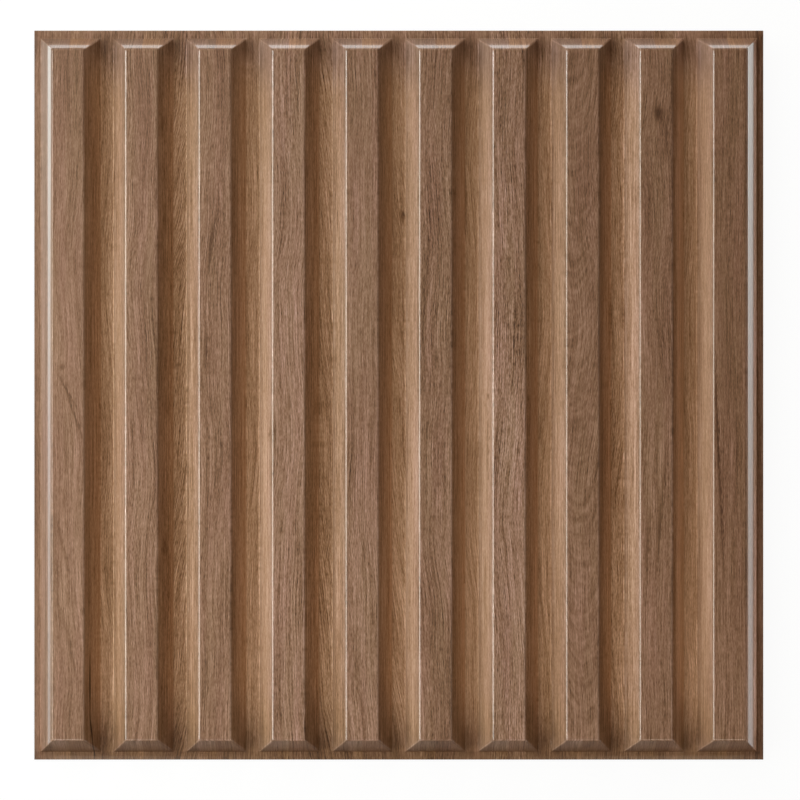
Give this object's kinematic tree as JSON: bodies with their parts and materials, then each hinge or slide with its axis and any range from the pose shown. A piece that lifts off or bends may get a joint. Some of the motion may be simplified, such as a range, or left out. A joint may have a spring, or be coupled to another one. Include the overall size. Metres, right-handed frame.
{
  "type": "fluted wall panel",
  "caption": "Square wall tile formed from one thin PVC sheet with a wood-grain face: hollow flat-topped ribs with sloping sides and ends stand on a flat flange that is glued to the wall.",
  "frame": {"origin": "middle of the back face, at the level that rests on the wall or floor", "axes": "+X across the ribs, +Y along the ribs and the wood grain, +Z out of the wall, from the back of the sheet to the rib crowns"},
  "size_m": [0.5, 0.5, 0.016],
  "materials": {
    "film_faced_pvc": "satin"
  },
  "bodies": {
    "root": {"fluted_panel": "film_faced_pvc"}
  },
  "joints": []
}
